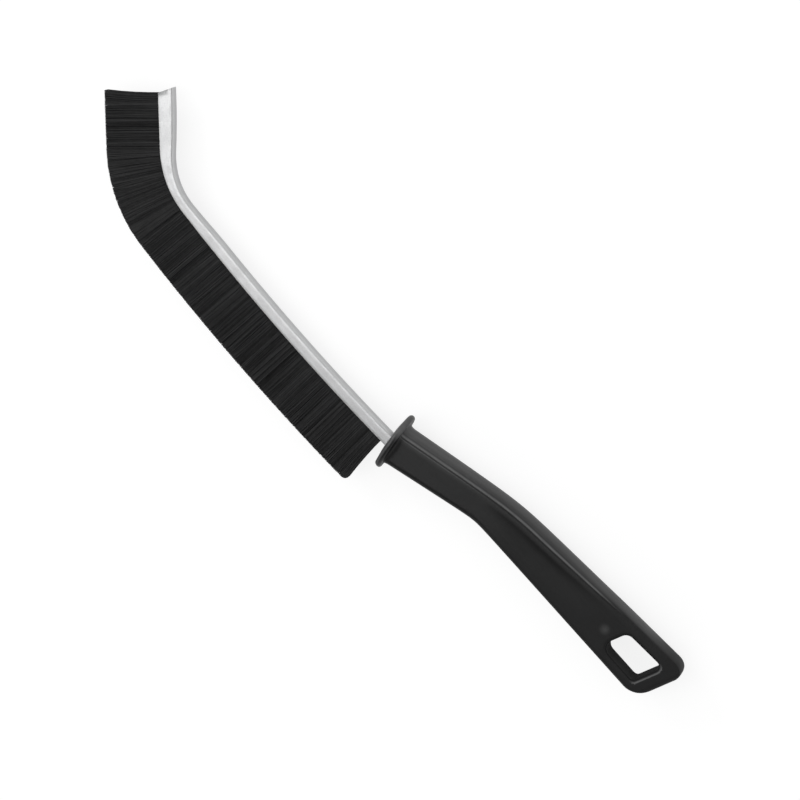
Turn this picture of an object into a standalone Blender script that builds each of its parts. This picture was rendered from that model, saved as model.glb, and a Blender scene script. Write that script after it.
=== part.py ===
"""Grout brush: a strip of stiff bristles in a bent steel channel, on a moulded plastic handle.

All lengths are in metres. The brush lies on its side: +X runs along it towards the toe, +Y points
to the bristles and +Z is up, across the brush's thickness. The outlines are first laid out from the
heel, the point of the channel's lips where the bristles start next to the handle. At the end the
whole brush is moved, so that the origin lies under the middle of its overall box.
"""

import math
import random

import bmesh
import bpy
from mathutils import Vector

# Clearance between pieces that touch, and how far a cutter reaches past what it cuts
CLEARANCE = 0.0003
OVERRUN = 0.002

# Path of the strip, measured along the channel's lips from the heel to the toe
HEEL_TILT = math.radians(2.4)
STRIP_RUN = 0.1056
BOW_RADIUS = 0.9
BEND_RADIUS = 0.0367
BEND_ANGLE = math.radians(37.5)
TOE_RUN = 0.0196

# Steel channel
CHANNEL_WIDTH = 0.0045
CHANNEL_MOUTH = 0.0042
CHANNEL_DEPTH = 0.00455
CHANNEL_WALL = 0.0005
CHANNEL_CORNER = 0.0012
BEND_DRAW_IN = 0.0007
TOE_DEEPENING = 0.00115
TOE_CUT_ANGLE = math.radians(18)
TANG_LENGTH = 0.013

# Wire that the filaments are folded round
WIRE_RADIUS = 0.0006
WIRE_DEPTH = 0.00145

# Bristles, in banks along the strip. Each bank has columns along the strip and rows across it.
BRISTLE_LENGTH = 0.0195
BRISTLE_TIP_WIDTH = 0.0044
BANK_COUNT = 10
BANK_COLUMNS = 9
BANK_ROWS = 4
END_SPLAY = math.radians(4)
END_SPLAY_REACH = 0.008
HEEL_TIP_RADIUS = 0.0021
ROOT_FILL_SHARE = 0.72
TIP_FILL_SHARE = 0.8
TIP_WANDER_SHARE = 0.07
WANDER_SEED = 4

# Handle's side outline. Distances run back from the heel, and heights from the lips there.
BACK_START_DEPTH = 0.00950
BACK_NECK_ANGLE = math.radians(14.2)
BACK_GRIP_ANGLE = math.radians(3.8)
BACK_KNEE = 0.0498
BACK_KNEE_SOFTNESS = 0.010
BELLY_START_HEIGHT = 0.0053
BELLY_NECK_ANGLE = math.radians(16)
BELLY_GRIP_ANGLE = math.radians(-0.1)
BELLY_KNEE = 0.0426
BELLY_KNEE_SOFTNESS = 0.003
HANDLE_END = 0.1285
END_CUT_ANGLE = math.radians(16.7)
END_CORNER_RADIUS = 0.006
END_EDGE_RADIUS = 0.002

# Handle's cross-section
NECK_HALF_THICKNESS = 0.0062
END_HALF_THICKNESS = 0.0055
BACK_CROWN = 0.0013
BACK_NARROWING_SHARE = 0.4
BACK_NARROWS_FROM = 0.062
BACK_NARROWS_TO = 0.105
BELLY_EDGE_RADIUS = 0.002
BEAD_WIDTH = 0.0016
BEAD_HEIGHT = 0.0003
BEAD_PEAK_SHARE = 0.55
BEAD_STEP = 0.0003
BEAD_FADE_FROM = 0.085
BEAD_FADE_TO = 0.100
SCOOP_FROM = 0.040
SCOOP_TO = 0.098
SCOOP_DEPTH = 0.0012
SCOOP_MARGIN = 0.0018

# Finger guard, one with the handle
GUARD_SETBACK = 0.0024
GUARD_CENTRE_DROP = 0.0029
GUARD_TILT = math.radians(12)
GUARD_LENGTH = 0.0222
GUARD_WIDTH = 0.0200
GUARD_THICKNESS = 0.0023
GUARD_FRONT_RADIUS = 0.0011
GUARD_REAR_RADIUS = 0.0011
GUARD_CROWN = 0.0005
GUARD_CROWN_INSET = 0.0045
NECK_FILLET_LENGTH = 0.0022
NECK_FILLET_SHARE = 0.45

# Hanging hole
HOLE_LENGTH = 0.0164
HOLE_END_BAR = 0.0060
HOLE_BACK_BAR = 0.0049
HOLE_BELLY_BAR = 0.0038
HOLE_TOE_RADIUS = 0.0032
HOLE_END_RADIUS = 0.0019
HOLE_CHAMFER = 0.0009

# How finely curves are divided
RUN_STEPS = 12
BEND_STEPS = 9
TOE_STEPS = 3
TANG_STEPS = 2
BODY_STEPS = 24
END_STEPS = 5
CROWN_STEPS = 4
SIDE_STEPS = 6
CORNER_STEPS = 3
WIRE_SIDES = 10
SMOOTH_ANGLE = math.radians(35)


def clear_scene():
    for thing in list(bpy.data.objects):
        bpy.data.objects.remove(thing, do_unlink=True)


def material(name, colour, roughness, metallic):
    made = bpy.data.materials.new(name)
    made.use_nodes = True
    shader = made.node_tree.nodes["Principled BSDF"]
    shader.inputs["Base Color"].default_value = (*colour, 1.0)
    shader.inputs["Roughness"].default_value = roughness
    shader.inputs["Metallic"].default_value = metallic
    return made


def smoothstep(low, high, value):
    """0 before low, 1 after high, and an even S-shaped change between them."""
    share = min(1.0, max(0.0, (value - low) / (high - low)))
    return share * share * (3 - 2 * share)


def soft_ramp(distance, softness):
    """0 before a corner and the distance after it, rounded over a length at the corner."""
    return (distance + math.hypot(distance, softness)) / 2


def add_mesh(name, bm, paint):
    """Make a smooth-shaded object of a bmesh, with its faces pointing out."""
    bmesh.ops.recalc_face_normals(bm, faces=bm.faces[:])
    mesh = bpy.data.meshes.new(name)
    bm.to_mesh(mesh)
    bm.free()
    mesh.shade_smooth()
    mesh.set_sharp_from_angle(angle=SMOOTH_ANGLE)
    thing = bpy.data.objects.new(name, mesh)
    bpy.context.scene.collection.objects.link(thing)
    if paint:
        mesh.materials.append(paint)
    return thing


def loft(bm, rings):
    """Skin closed rings of equally many points, and close both ends with a flat face."""
    rows = [[bm.verts.new(point) for point in ring] for ring in rings]
    count = len(rows[0])
    for row, following in zip(rows, rows[1:]):
        for i in range(count):
            j = (i + 1) % count
            bm.faces.new((row[i], row[j], following[j], following[i]))
    bm.faces.new(rows[0])
    bm.faces.new(rows[-1])
    return rows


def cut(thing, cutter):
    cutter.hide_render = True
    cutter.display_type = "WIRE"
    boolean = thing.modifiers.new(cutter.name, "BOOLEAN")
    boolean.operation = "DIFFERENCE"
    boolean.solver = "EXACT"
    boolean.object = cutter


# The strip's path

BEND_LENGTH = BEND_RADIUS * BEND_ANGLE
STRIP_LENGTH = STRIP_RUN + BEND_LENGTH + TOE_RUN


def along(place, angle, length, turn_rate):
    """Where a curve of steady turn ends, and its angle there."""
    if turn_rate == 0:
        step = Vector((math.cos(angle), math.sin(angle))) * length
        return place + step, angle
    turned = angle - turn_rate * length
    step = Vector((math.sin(angle) - math.sin(turned), math.cos(turned) - math.cos(angle)))
    return place + step / turn_rate, turned


def strip_place(distance):
    """The lips' centre line at a distance from the heel, and its angle. The tang is straight."""
    place = Vector((0.0, 0.0))
    angle = HEEL_TILT
    if distance <= 0:
        return along(place, angle, distance, 0)
    left = distance
    for length, turn_rate in ((STRIP_RUN, 1 / BOW_RADIUS), (BEND_LENGTH, 1 / BEND_RADIUS)):
        place, angle = along(place, angle, min(left, length), turn_rate)
        left -= length
        if left <= 0:
            return place, angle
    return along(place, angle, left, 0)


def strip_point(distance, out, across, lean=0.0):
    """A point by its distance along the lips, its distance out from them and its place in Z."""
    place, angle = strip_place(distance)
    upright = angle + math.pi / 2 - lean
    step = Vector((math.cos(upright), math.sin(upright))) * out
    return Vector((place.x + step.x, place.y + step.y, across))


def channel_depth(distance):
    """The channel is drawn in most near the start of its bend, and deeper at the toe."""
    thinnest_at = STRIP_RUN + BEND_LENGTH / 6
    in_bend = 1 - smoothstep(0, BEND_LENGTH, abs(distance - thinnest_at))
    at_toe = smoothstep(STRIP_RUN + BEND_LENGTH / 3, STRIP_LENGTH - TOE_RUN / 6, distance)
    return CHANNEL_DEPTH - BEND_DRAW_IN * in_bend + TOE_DEEPENING * at_toe


def strip_stations(start, end):
    """Distances along the strip at which its solids have a section."""
    bend_end = STRIP_RUN + BEND_LENGTH
    has_tang = start < 0
    stations = [start * (1 - i / TANG_STEPS) for i in range(TANG_STEPS)] if has_tang else [start]
    first = 0 if has_tang else 1
    stations += [STRIP_RUN * i / RUN_STEPS for i in range(first, RUN_STEPS)]
    stations += [STRIP_RUN + BEND_LENGTH * i / BEND_STEPS for i in range(BEND_STEPS)]
    stations += [bend_end + (end - bend_end) * i / TOE_STEPS for i in range(TOE_STEPS + 1)]
    return stations


def channel_half(depth, mouth, width, corner):
    """Half of a channel's outline, from its mouth to the middle of its web, as (out, across)."""
    points = [(0, mouth / 2)]
    for i in range(CORNER_STEPS + 1):
        turn = math.pi / 2 * i / CORNER_STEPS
        out = -depth + corner - corner * math.sin(turn)
        across = width / 2 - corner + corner * math.cos(turn)
        points.append((out, across))
    return points


def mirrored(half):
    return half + [(out, -across) for out, across in reversed(half)]


def channel_section(depth):
    outside = mirrored(channel_half(depth, CHANNEL_MOUTH, CHANNEL_WIDTH, CHANNEL_CORNER))
    wall = CHANNEL_WALL
    inside_mouth = CHANNEL_MOUTH - 2 * wall
    inside_width = CHANNEL_WIDTH - 2 * wall
    inside = mirrored(channel_half(depth - wall, inside_mouth, inside_width, CHANNEL_CORNER - wall))
    return outside + inside[::-1]


def make_channel(paint):
    bm = bmesh.new()
    rings = []
    for distance in strip_stations(-TANG_LENGTH, STRIP_LENGTH):
        section = channel_section(channel_depth(distance))
        is_toe = distance >= STRIP_LENGTH
        shear = math.tan(TOE_CUT_ANGLE) if is_toe else 0.0
        ring = [strip_point(distance - out * shear, out, across) for out, across in section]
        rings.append(ring)
    loft(bm, rings)
    return add_mesh("brush_channel", bm, paint)


def make_core_wire(paint):
    bm = bmesh.new()
    rings = []
    for distance in strip_stations(CLEARANCE, STRIP_LENGTH - CLEARANCE):
        ring = []
        for i in range(WIRE_SIDES):
            turn = 2 * math.pi * i / WIRE_SIDES
            out = -WIRE_DEPTH + WIRE_RADIUS * math.cos(turn)
            ring.append(strip_point(distance, out, WIRE_RADIUS * math.sin(turn)))
        rings.append(ring)
    loft(bm, rings)
    return add_mesh("core_wire", bm, paint)


# Bristles

ROOT_WIDTH = CHANNEL_MOUTH - 2 * CHANNEL_WALL - 2 * CLEARANCE
BORE_RADIUS = WIRE_RADIUS + CLEARANCE


def end_lean(distance):
    """The bristles at both ends of the strip splay out a little."""
    at_heel = 1 - smoothstep(0, END_SPLAY_REACH, distance)
    at_toe = smoothstep(STRIP_LENGTH - END_SPLAY_REACH, STRIP_LENGTH, distance)
    return END_SPLAY * (at_toe - at_heel)


def tip_point(distance, across_share):
    """A point on the trimmed ends of the bristles, whose corner over the heel is rounded off."""
    from_edge = HEEL_TIP_RADIUS - min(distance, HEEL_TIP_RADIUS)
    drop = HEEL_TIP_RADIUS - math.sqrt(HEEL_TIP_RADIUS**2 - from_edge**2)
    across = BRISTLE_TIP_WIDTH * across_share
    return strip_point(distance, BRISTLE_LENGTH - drop, across, end_lean(distance))


def root_outline(distance):
    """The backing's outline across the strip: its top, divided in rows, then its sides and bottom."""
    bottom = -(channel_depth(distance) - CHANNEL_WALL - CLEARANCE)
    tops = [(0, ROOT_WIDTH * (row / BANK_ROWS - 1 / 2)) for row in range(BANK_ROWS + 1)]
    return tops + [(bottom, ROOT_WIDTH / 2), (bottom, -ROOT_WIDTH / 2)]


def bore_outline(distance):
    """The bore round the wire, starting beside the outline's first point and turning with it."""
    count = len(root_outline(distance))
    start = math.atan2(-ROOT_WIDTH / 2, WIRE_DEPTH)
    points = []
    for i in range(count):
        turn = start + 2 * math.pi * i / count
        points.append((-WIRE_DEPTH + BORE_RADIUS * math.cos(turn), BORE_RADIUS * math.sin(turn)))
    return points


def strand_corners(distances, column, row, wander):
    """The corners of a tapered strand in its cell of the backing's top: at its root and its tip."""
    low, high = distances[column], distances[column + 1]
    middle = (low + high) / 2
    half_pitch = (high - low) / 2
    row_middle_share = (row + 1 / 2) / BANK_ROWS - 1 / 2
    row_half_share = 1 / BANK_ROWS / 2
    shift = [wander.uniform(-1, 1) * TIP_WANDER_SHARE for _ in range(2)]
    roots = []
    tips = []
    for side, rise in ((-1, -1), (-1, 1), (1, 1), (1, -1)):
        root_share = row_middle_share + rise * ROOT_FILL_SHARE * row_half_share
        roots.append(strip_point(middle + side * ROOT_FILL_SHARE * half_pitch, 0, ROOT_WIDTH * root_share))
        tip_share = row_middle_share + (rise * TIP_FILL_SHARE + shift[0]) * row_half_share
        tips.append(tip_point(middle + (side * TIP_FILL_SHARE + shift[1]) * half_pitch, tip_share))
    return roots, tips


def add_strand(bm, cell, roots, tips):
    """Raise one four-sided strand from a cell, whose corners come in the same order."""
    root_verts = [bm.verts.new(point) for point in roots]
    tip_verts = [bm.verts.new(point) for point in tips]
    for low, high in ((cell, root_verts), (root_verts, tip_verts)):
        for i in range(4):
            j = (i + 1) % 4
            bm.faces.new((low[i], low[j], high[j], high[i]))
    bm.faces.new(tip_verts)


def make_bank(number, paint, wander):
    bm = bmesh.new()
    bank_length = STRIP_LENGTH / BANK_COUNT
    start = bank_length * number + CLEARANCE / 2
    end = bank_length * (number + 1) - CLEARANCE / 2
    distances = [start + (end - start) * i / BANK_COLUMNS for i in range(BANK_COLUMNS + 1)]
    outer = []
    bore = []
    for distance in distances:
        outer.append([bm.verts.new(strip_point(distance, *point)) for point in root_outline(distance)])
        bore.append([bm.verts.new(strip_point(distance, *point)) for point in bore_outline(distance)])
    count = len(outer[0])
    for column in range(BANK_COLUMNS):
        for i in range(count):
            j = (i + 1) % count
            near, far = outer[column], outer[column + 1]
            corners = (near[i], near[j], far[j], far[i])
            if i < BANK_ROWS:
                add_strand(bm, corners, *strand_corners(distances, column, i, wander))
            else:
                bm.faces.new(corners)
            near, far = bore[column], bore[column + 1]
            bm.faces.new((near[i], near[j], far[j], far[i]))
    for ring, hole in ((outer[0], bore[0]), (outer[-1], bore[-1])):
        for i in range(count):
            j = (i + 1) % count
            bm.faces.new((ring[i], ring[j], hole[j], hole[i]))
    return add_mesh(f"bristles_{number + 1:02d}", bm, paint)


# Handle


def back_height(distance):
    """The back's height over the lips at the heel, which is negative, as the bristles point up in Y."""
    bend = math.tan(BACK_NECK_ANGLE) - math.tan(BACK_GRIP_ANGLE)
    straight = -BACK_START_DEPTH - math.tan(BACK_NECK_ANGLE) * distance
    return straight + bend * soft_ramp(distance - BACK_KNEE, BACK_KNEE_SOFTNESS)


def belly_height(distance):
    bend = math.tan(BELLY_NECK_ANGLE) - math.tan(BELLY_GRIP_ANGLE)
    straight = BELLY_START_HEIGHT - math.tan(BELLY_NECK_ANGLE) * distance
    return straight + bend * soft_ramp(distance - BELLY_KNEE, BELLY_KNEE_SOFTNESS)


def slice_ends(middle, slant):
    """Where a slanted cut through the handle meets its back and its belly."""
    half = (belly_height(middle) - back_height(middle)) / 2
    lead = half * math.tan(slant)
    return middle - lead, middle + lead


NECK_START = GUARD_SETBACK + GUARD_THICKNESS
FIRST_SLICE = slice_ends(NECK_START, GUARD_TILT)
LAST_SLICE = slice_ends(HANDLE_END, -END_CUT_ANGLE)
BODY_LENGTH = HANDLE_END - NECK_START

# The scoop in each side is deepest a third of the way down from the back
DISH_PEAK = (1 / 3) * (2 / 3) ** 2


def section_half(distance, width, half_thickness, share_of_round=1.0):
    """Half of the handle's section, from the back's middle to the belly's, as (in, across)."""
    fade = 1 - smoothstep(BEAD_FADE_FROM, BEAD_FADE_TO, distance)
    step = BEAD_STEP * fade
    narrowing = 1 - BACK_NARROWING_SHARE * smoothstep(BACK_NARROWS_FROM, BACK_NARROWS_TO, distance)
    crown = BACK_CROWN * share_of_round * narrowing
    edge = BELLY_EDGE_RADIUS * share_of_round
    bead = BEAD_WIDTH * share_of_round * narrowing
    points = []
    for i in range(CROWN_STEPS + 1):
        turn = math.pi / 2 * i / CROWN_STEPS
        points.append((crown * (1 - math.cos(turn)), (half_thickness - step) * math.sin(turn)))
    points.append((crown + bead * BEAD_PEAK_SHARE, half_thickness + BEAD_HEIGHT * fade))
    points.append((crown + bead, half_thickness))
    side_from = crown + bead
    side_to = width - edge
    reach = smoothstep(SCOOP_FROM, (SCOOP_FROM + SCOOP_TO) / 2, distance)
    reach *= 1 - smoothstep((SCOOP_FROM + SCOOP_TO) / 2, SCOOP_TO, distance)
    margin = SCOOP_MARGIN * share_of_round
    for i in range(1, SIDE_STEPS):
        inward = side_from + (side_to - side_from) * i / SIDE_STEPS
        share = (inward - side_from - margin) / (side_to - side_from - 2 * margin)
        share = min(1.0, max(0.0, share))
        dish = share * (1 - share) ** 2 / DISH_PEAK
        points.append((inward, half_thickness - SCOOP_DEPTH * reach * dish))
    for i in range(CORNER_STEPS + 1):
        turn = math.pi / 2 * i / CORNER_STEPS
        points.append((side_to + edge * math.sin(turn), half_thickness - edge * (1 - math.cos(turn))))
    points.append((width, 0))
    return points


def whole_section(half):
    """Both halves of a section, which share its first and its last point."""
    return half + [(inward, -across) for inward, across in reversed(half[1:-1])]


def slice_ring(share, trim=0.0, thinning=0.0, share_of_round=1.0):
    """The handle's section at a share of its body, with its back and belly trimmed alike."""
    back_at = FIRST_SLICE[0] + (LAST_SLICE[0] - FIRST_SLICE[0]) * share
    belly_at = FIRST_SLICE[1] + (LAST_SLICE[1] - FIRST_SLICE[1]) * share
    back = Vector((-back_at, back_height(back_at)))
    belly = Vector((-belly_at, belly_height(belly_at)))
    line = belly - back
    way = line.normalized()
    half_thickness = NECK_HALF_THICKNESS + (END_HALF_THICKNESS - NECK_HALF_THICKNESS) * share - thinning
    width = line.length - 2 * trim
    ring = []
    middle_at = (back_at + belly_at) / 2
    for inward, across in whole_section(section_half(middle_at, width, half_thickness, share_of_round)):
        place = back + way * (trim + inward)
        ring.append(Vector((place.x, place.y, across)))
    return ring


GUARD_AXIS = Vector((-math.cos(GUARD_TILT), -math.sin(GUARD_TILT), 0))
GUARD_UP = Vector((-math.sin(GUARD_TILT), math.cos(GUARD_TILT), 0))
GUARD_CENTRE = Vector((-GUARD_SETBACK, -GUARD_CENTRE_DROP, 0))


def guard_ring(neck, inset, depth):
    """A ring of the guard with a point beside each of the neck's, a depth behind its front."""
    centre = GUARD_CENTRE + GUARD_AXIS * depth
    ring = []
    for point in neck:
        offset = point - centre
        turn = math.atan2(offset.z / GUARD_WIDTH, offset.dot(GUARD_UP) / GUARD_LENGTH)
        up = (GUARD_LENGTH / 2 - inset) * math.cos(turn)
        across = (GUARD_WIDTH / 2 - inset) * math.sin(turn)
        ring.append(centre + GUARD_UP * up + Vector((0, 0, across)))
    return ring


def guard_rings(neck):
    """The guard from its crowned front over the rounded rim to its flat rear."""
    rings = [guard_ring(neck, GUARD_CROWN_INSET, -GUARD_CROWN)]
    rings.append(guard_ring(neck, (GUARD_CROWN_INSET + GUARD_FRONT_RADIUS) / 2, -GUARD_CROWN / 2))
    for i in range(CORNER_STEPS + 1):
        turn = math.pi / 2 * i / CORNER_STEPS
        inset = GUARD_FRONT_RADIUS * (1 - math.sin(turn))
        rings.append(guard_ring(neck, inset, GUARD_FRONT_RADIUS * (1 - math.cos(turn))))
    for i in range(CORNER_STEPS + 1):
        turn = math.pi / 2 * i / CORNER_STEPS
        inset = GUARD_REAR_RADIUS * (1 - math.cos(turn))
        depth = GUARD_THICKNESS - GUARD_REAR_RADIUS * (1 - math.sin(turn))
        rings.append(guard_ring(neck, inset, depth))
    return rings


def fillet_rings(neck, rim, ahead):
    """The hollow fillet from the guard's flat rear, which ends at the rim, to the handle ahead."""
    rings = []
    for i in range(CORNER_STEPS):
        turn = math.pi / 2 * i / CORNER_STEPS
        out = NECK_FILLET_SHARE * (1 - math.sin(turn))
        back = 1 - math.cos(turn)
        corners = zip(neck, rim, ahead)
        rings.append([at.lerp(further, back) + (edge - at) * out for at, edge, further in corners])
    return rings


def handle_rings():
    neck = slice_ring(0)
    fillet_share = NECK_FILLET_LENGTH / BODY_LENGTH
    rings = guard_rings(neck)
    rings += fillet_rings(neck, rings[-1], slice_ring(fillet_share))
    straight_to = 1 - END_CORNER_RADIUS / BODY_LENGTH
    for i in range(BODY_STEPS + 1):
        rings.append(slice_ring(fillet_share + (straight_to - fillet_share) * i / BODY_STEPS))
    for i in range(1, END_STEPS + 1):
        turn = math.pi / 2 * i / END_STEPS
        left = END_CORNER_RADIUS * (1 - math.sin(turn))
        trim = END_CORNER_RADIUS * (1 - math.cos(turn))
        short = max(0.0, END_EDGE_RADIUS - left)
        thinning = END_EDGE_RADIUS - math.sqrt(END_EDGE_RADIUS**2 - short**2)
        share_of_round = (1 + math.cos(turn)) / 2
        rings.append(slice_ring(1 - left / BODY_LENGTH, trim, thinning, share_of_round))
    return rings


def hole_corners():
    """The hanging hole's corners, parallel to the handle's edges and to its slanted end."""
    slant = math.tan(END_CUT_ANGLE)
    end_at = HANDLE_END - HOLE_END_BAR / math.cos(END_CUT_ANGLE)
    corners = []
    middle_height = (back_height(end_at) + belly_height(end_at)) / 2
    toe_at = end_at - HOLE_LENGTH
    for distance, is_belly in ((toe_at, True), (toe_at, False), (end_at, False), (end_at, True)):
        if is_belly:
            height = belly_height(distance) - HOLE_BELLY_BAR
        else:
            height = back_height(distance) + HOLE_BACK_BAR
        at = distance - slant * (height - middle_height)
        corners.append(Vector((-at, height)))
    return corners


def rounded_corner(before, corner, after, radius, steps):
    """Points of the arc that rounds a corner."""
    to_before = (before - corner).normalized()
    to_after = (after - corner).normalized()
    half_angle = to_before.angle(to_after) / 2
    bisector = (to_before + to_after).normalized()
    centre = corner + bisector * (radius / math.sin(half_angle))
    start = corner + to_before * (radius / math.tan(half_angle)) - centre
    end = corner + to_after * (radius / math.tan(half_angle)) - centre
    points = []
    for i in range(steps + 1):
        share = i / steps
        spread = start.angle(end)
        blend = start * math.sin((1 - share) * spread) + end * math.sin(share * spread)
        points.append(centre + blend / math.sin(spread))
    return points


def hole_outline(grown):
    corners = hole_corners()
    radii = (HOLE_TOE_RADIUS, HOLE_TOE_RADIUS, HOLE_END_RADIUS, HOLE_END_RADIUS)
    middle = sum(corners, Vector((0, 0))) / len(corners)
    outline = []
    for i, corner in enumerate(corners):
        before, after = corners[i - 1], corners[(i + 1) % len(corners)]
        outline += rounded_corner(before, corner, after, radii[i], CORNER_STEPS + 1)
    count = len(outline)
    spread = []
    for i, point in enumerate(outline):
        along_edge = (outline[(i + 1) % count] - outline[i - 1]).normalized()
        outward = Vector((along_edge.y, -along_edge.x))
        if outward.dot(point - middle) < 0:
            outward = -outward
        spread.append(point + outward * grown)
    return spread


def make_hole_cutter():
    bm = bmesh.new()
    inner = END_HALF_THICKNESS - HOLE_CHAMFER
    outer = END_HALF_THICKNESS + OVERRUN
    rings = []
    for height, grown in ((-outer, outer - inner), (-inner, 0), (inner, 0), (outer, outer - inner)):
        rings.append([Vector((point.x, point.y, height)) for point in hole_outline(grown)])
    loft(bm, rings)
    return add_mesh("hanging_hole_cutter", bm, None)


def make_socket_cutter():
    """The blind socket for the tang, which opens through the guard's front."""
    bm = bmesh.new()
    half_width = CHANNEL_WIDTH / 2 + CLEARANCE
    rings = []
    for distance in (-TANG_LENGTH - CLEARANCE, OVERRUN):
        ring = []
        for out in (-CHANNEL_DEPTH - CLEARANCE, CLEARANCE):
            ends = (-half_width, half_width) if out < 0 else (half_width, -half_width)
            ring += [strip_point(distance, out, across) for across in ends]
        rings.append(ring)
    loft(bm, rings)
    return add_mesh("tang_socket_cutter", bm, None)


def make_handle(paint):
    bm = bmesh.new()
    loft(bm, handle_rings())
    handle = add_mesh("handle", bm, paint)
    cutters = [make_hole_cutter(), make_socket_cutter()]
    for cutter in cutters:
        cut(handle, cutter)
    return [handle, *cutters]


def stand_on_origin(things):
    """Parent everything to one empty, moved so that the overall box stands on the origin."""
    corners = [thing.matrix_world @ vert.co for thing in things for vert in thing.data.vertices]
    low = Vector([min(corner[i] for corner in corners) for i in range(3)])
    high = Vector([max(corner[i] for corner in corners) for i in range(3)])
    frame = bpy.data.objects.new("brush_frame", None)
    bpy.context.scene.collection.objects.link(frame)
    frame.location = (-(low.x + high.x) / 2, -(low.y + high.y) / 2, -low.z)
    return frame


def main():
    clear_scene()
    black_plastic = material("black_plastic", (0.030, 0.030, 0.031), 0.42, 0.0)
    steel = material("galvanised_steel", (0.72, 0.73, 0.74), 0.35, 1.0)
    wire_steel = material("wire_steel", (0.55, 0.55, 0.56), 0.4, 1.0)
    nylon = material("black_nylon", (0.020, 0.020, 0.021), 0.5, 0.0)
    handle, *cutters = make_handle(black_plastic)
    pieces = [handle, make_channel(steel), make_core_wire(wire_steel)]
    wander = random.Random(WANDER_SEED)
    pieces += [make_bank(number, nylon, wander) for number in range(BANK_COUNT)]
    frame = stand_on_origin(pieces)
    for thing in pieces + cutters:
        thing.parent = frame


main()
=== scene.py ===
"""Looks of the grout brush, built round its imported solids.

All lengths are in metres, in the part's own frame: the brush lies on its side, +X runs along it
towards the toe, +Y points to the bristles and +Z is up. As in the part's source, the outlines are
laid out from the heel, the point of the channel's lips where the bristles start next to the handle.
"""

import math

import bmesh
import bpy
import numpy as np
from mathutils import kdtree, Matrix, Vector


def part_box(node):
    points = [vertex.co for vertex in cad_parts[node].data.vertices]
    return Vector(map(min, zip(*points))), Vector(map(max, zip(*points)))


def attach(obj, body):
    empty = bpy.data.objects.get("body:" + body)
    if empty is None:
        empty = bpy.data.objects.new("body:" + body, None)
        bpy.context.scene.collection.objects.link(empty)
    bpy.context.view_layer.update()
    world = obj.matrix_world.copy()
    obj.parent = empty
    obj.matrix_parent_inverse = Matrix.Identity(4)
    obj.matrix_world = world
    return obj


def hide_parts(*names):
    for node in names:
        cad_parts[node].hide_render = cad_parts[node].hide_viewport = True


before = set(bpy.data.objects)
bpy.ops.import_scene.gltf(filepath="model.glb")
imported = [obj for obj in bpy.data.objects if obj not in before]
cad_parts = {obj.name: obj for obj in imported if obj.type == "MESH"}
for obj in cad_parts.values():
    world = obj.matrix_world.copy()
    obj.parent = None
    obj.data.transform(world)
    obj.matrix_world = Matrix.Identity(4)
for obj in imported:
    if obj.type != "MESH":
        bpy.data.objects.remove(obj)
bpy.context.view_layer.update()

# Path of the strip, measured along the channel's lips from the heel to the toe
HEEL_TILT = math.radians(2.4)
STRIP_RUN = 0.1056
BOW_RADIUS = 0.9
BEND_RADIUS = 0.0367
BEND_ANGLE = math.radians(37.5)
BEND_LENGTH = BEND_RADIUS * BEND_ANGLE
TOE_RUN = 0.0196
STRIP_LENGTH = STRIP_RUN + BEND_LENGTH + TOE_RUN

# The path's parts, as lengths and turning rates. The last one goes straight on past the toe.
STRIP_PARTS = ((STRIP_RUN, 1 / BOW_RADIUS), (BEND_LENGTH, 1 / BEND_RADIUS), (1, 0))

# Steel channel
CHANNEL_WIDTH = 0.0045
CHANNEL_MOUTH = 0.0042
CHANNEL_DEPTH = 0.00455
CHANNEL_WALL = 0.0005
CHANNEL_CORNER = 0.0012
BEND_DRAW_IN = 0.0007
TOE_DEEPENING = 0.00115
TOE_CUT_ANGLE = math.radians(18)
TANG_LENGTH = 0.013
LIP_RADIUS = 0.00012
WALL_WAVE_REACH = 0.00002
WALL_WAVES = ((410, 0), (263, 1.7))
WALL_SHARES = (0.25, 0.5, 0.75)
THINNEST_AT = STRIP_RUN + BEND_LENGTH / 6
DEEPENS_FROM = STRIP_RUN + BEND_LENGTH / 3
DEEPENS_TO = STRIP_LENGTH - TOE_RUN / 6

# Painted shade on the channel's walls: a darker patch beside the lips at the toe, near the cut
TOE_SHADE_FROM = 0.0008
TOE_SHADE_TO = 0.0022
TOE_SHADE_REACH = 0.0043
TOE_SHADE_FADE = 0.001

# Wire that the filaments are folded round
WIRE_RADIUS = 0.0006
WIRE_DEPTH = 0.00145
CLEARANCE = 0.0003

# Filaments, in the same banks as the part's bristle nodes
BRISTLE_LENGTH = 0.0195
BRISTLE_TIP_WIDTH = 0.0044
BANK_COUNT = 10
END_SPLAY = math.radians(4)
END_SPLAY_REACH = 0.008
HEEL_TIP_RADIUS = 0.0021
FILAMENT_RADIUS = 0.00013
TOE_TRIM = 0.0003
FILAMENT_ROWS = 14
FILAMENT_COLUMNS = 72
FILAMENT_SIDES = 3
FILAMENT_PARTS = 4
ROOT_WIDTH = CHANNEL_MOUTH - 2 * CHANNEL_WALL - 2 * CLEARANCE
BACKING_DROP = 0.0008
BACKING_SIDES = 16
BACKING_STEPS = 12

# How the filaments differ from each other. A stray is the most that a root is off its place, in
# columns or rows, and a spread is a standard deviation.
FIRST_COLUMN = 0.25
ROOT_STRAY = 0.2
ROW_STRAY = 0.25
ROOT_SINK = 0.0001
SHIFT_SPREAD = 0.00009
FAR_SIDE_SHARE = 0.8
SHIFT_CALM = 0.004
SIDE_OFFSET = 0.0017
SIDE_WAVE_SHARE = 0.45
TIP_SPREAD = 0.00007
LENGTH_SPREAD = 0.00005
BOW_SPREAD = 0.00011
SHIFT_POWER = 1.4
FAN_POWER = 0.9
TIP_TAPER = 0.12
BACKING_SHADE = 0.1
BASE_SHADE = 0.2
SHADE_GAIN = 450
SHADE_SPREAD = 0.035

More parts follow.
